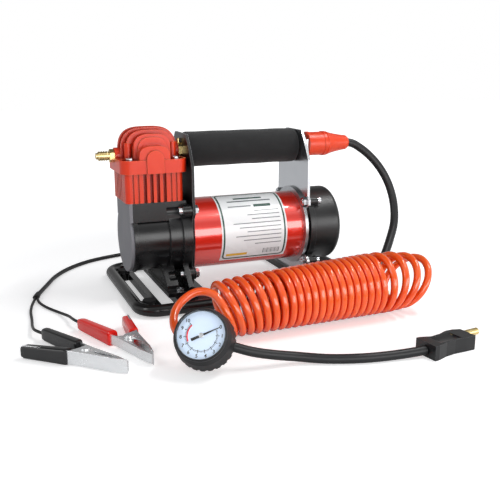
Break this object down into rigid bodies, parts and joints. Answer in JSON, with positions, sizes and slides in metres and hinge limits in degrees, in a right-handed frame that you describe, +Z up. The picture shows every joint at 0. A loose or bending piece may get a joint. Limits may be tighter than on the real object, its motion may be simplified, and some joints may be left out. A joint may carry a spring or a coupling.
{
  "type": "portable air compressor",
  "caption": "Direct-drive piston air compressor on a moulded base, with a padded air-carrying handle, coiled hose, gauge, chuck and battery clamps.",
  "frame": {"origin": "on the floor under the middle of the machine without its hoses and lead", "axes": "+X along the motor axis from the pump to the rear cover, +Y to the back, +Z up"},
  "size_m": [0.4014, 0.4188, 0.1635],
  "materials": {
    "tray_plastic": "moulded, satin gloss",
    "mount_rubber": "moulded",
    "zinc_steel": "zinc plated",
    "bracket_paint": "powder coated",
    "bracket_steel": "plated sheet",
    "tube_steel": "drawn tube",
    "grip_foam": "closed-cell foam, matt",
    "fitting_brass": "darkened nickel on brass",
    "crankcase_paint": "satin powder coat on die casting",
    "cover_paint": "grey satin coat",
    "head_paint": "orange-red satin coat on die casting",
    "machined_steel": "turned and ground",
    "valve_brass": "turned, bright",
    "piston_alloy": "machined",
    "ring_ptfe": "moulded seal",
    "motor_paint": "red gloss metallic",
    "label_film": "plain printed film",
    "magnet_ferrite": "sintered",
    "core_steel": "laminated stack with varnished copper",
    "commutator_copper": "turned copper bars",
    "bell_alloy": "machined",
    "brush_carbon": "carbon in a moulded holder",
    "cover_plastic": "moulded, satin",
    "switch_plastic": "moulded",
    "collar_plastic": "orange moulded",
    "hose_rubber": "smooth extruded",
    "coil_urethane": "orange extruded tube",
    "boot_rubber": "moulded, matt",
    "dial_plate": "printed enamel",
    "needle_paint": "black",
    "lens_glass": "clear moulded window",
    "chuck_plastic": "moulded",
    "cable_vinyl": "vinyl sheath",
    "clamp_steel": "plated pressed sheet",
    "black_vinyl": "dipped vinyl",
    "red_vinyl": "dipped vinyl"
  },
  "bodies": {
    "root": {"base_tray": "tray_plastic", "base_feet": "mount_rubber", "base_screws": "zinc_steel", "pump_bracket": "bracket_paint", "motor_bracket": "bracket_steel", "flange_bolts": "zinc_steel", "rear_bolts": "zinc_steel", "handle_tube": "tube_steel", "foam_grip": "grip_foam", "outlet_fitting": "fitting_brass", "crankcase": "crankcase_paint", "front_cover": "cover_paint", "cylinder": "head_paint", "cylinder_liner": "machined_steel", "valve_plate": "valve_brass", "cylinder_head": "head_paint", "head_screws": "zinc_steel", "safety_valve": "valve_brass", "piston": "piston_alloy", "piston_ring": "ring_ptfe", "motor_bearings": "machined_steel", "motor_can": "motor_paint", "motor_label": "label_film", "motor_magnets": "magnet_ferrite", "rear_bell": "bell_alloy", "brushes": "brush_carbon", "rear_cover": "cover_plastic", "cable_gland": "cover_plastic", "coupler_nut": "fitting_brass", "hose_boot": "collar_plastic", "lead_hose": "hose_rubber", "hose_joint": "valve_brass", "coil_hose": "coil_urethane", "coil_tail": "coil_urethane", "gauge_boot": "boot_rubber", "gauge_dial": "dial_plate", "gauge_lens": "lens_glass", "chuck_hose": "hose_rubber", "chuck_body": "chuck_plastic", "power_cable": "cable_vinyl", "cable_coil": "cable_vinyl", "clamp_wires": "cable_vinyl", "clamp_levers": "clamp_steel", "black_grip": "black_vinyl", "red_grip": "red_vinyl"},
    "rotor": {"motor_shaft": "machined_steel", "armature": "core_steel", "commutator": "commutator_copper", "crank": "machined_steel"},
    "rod": {"connecting_rod": "machined_steel", "wrist_pin": "machined_steel"},
    "rocker": {"switch_rocker": "switch_plastic"},
    "collar": {"coupler_collar": "collar_plastic"},
    "needle": {"gauge_needle": "needle_paint"},
    "tip": {"chuck_tip": "valve_brass"},
    "black_clamp_jaw": {"black_jaw": "clamp_steel", "black_jaw_grip": "black_vinyl"},
    "red_clamp_jaw": {"red_jaw": "clamp_steel", "red_jaw_grip": "red_vinyl"}
  },
  "joints": [
    {"name": "rotor_turn", "type": "hinge", "parent": "root", "child": "rotor", "pos_m": [0, 0, 0.057], "axis": [1, 0, 0], "continuous": true},
    {"name": "rod_turn", "type": "hinge", "parent": "rotor", "child": "rod", "pos_m": [-0.08, 0, 0.069], "axis": [1, 0, 0], "continuous": true},
    {"name": "switch_rock", "type": "hinge", "parent": "root", "child": "rocker", "pos_m": [0.1103, 0, 0.065], "axis": [0, 1, 0], "range_deg": [0, 16]},
    {"name": "collar_turn", "type": "hinge", "parent": "root", "child": "collar", "pos_m": [0.095, 0, 0.14], "axis": [1, 0, 0], "continuous": true},
    {"name": "needle_sweep", "type": "hinge", "parent": "root", "child": "needle", "pos_m": [-0.087, -0.192, 0.01944], "axis": [0.4193, 0.7263, -0.5446], "range_deg": [0, 250], "stiffness_Nm_per_rad": 0.0001},
    {"name": "tip_turn", "type": "hinge", "parent": "root", "child": "tip", "pos_m": [0.11838, -0.22842, 0.008], "axis": [0.9903, 0.1392, 0], "continuous": true},
    {"name": "black_clamp_squeeze", "type": "hinge", "parent": "root", "child": "black_clamp_jaw", "pos_m": [-0.1705, -0.1547, 0.0065], "axis": [0, 0, 1], "range_deg": [-22, 0], "stiffness_Nm_per_rad": 0.4, "springref_deg": 20.05},
    {"name": "red_clamp_squeeze", "type": "hinge", "parent": "root", "child": "red_clamp_jaw", "pos_m": [-0.1334, -0.14, 0.0065], "axis": [0, 0, 1], "range_deg": [0, 22], "stiffness_Nm_per_rad": 0.4, "springref_deg": -20.05}
  ],
  "couplings": [
    {"joint": "rod_turn", "follows": "rotor_turn", "ratio": -1}
  ]
}
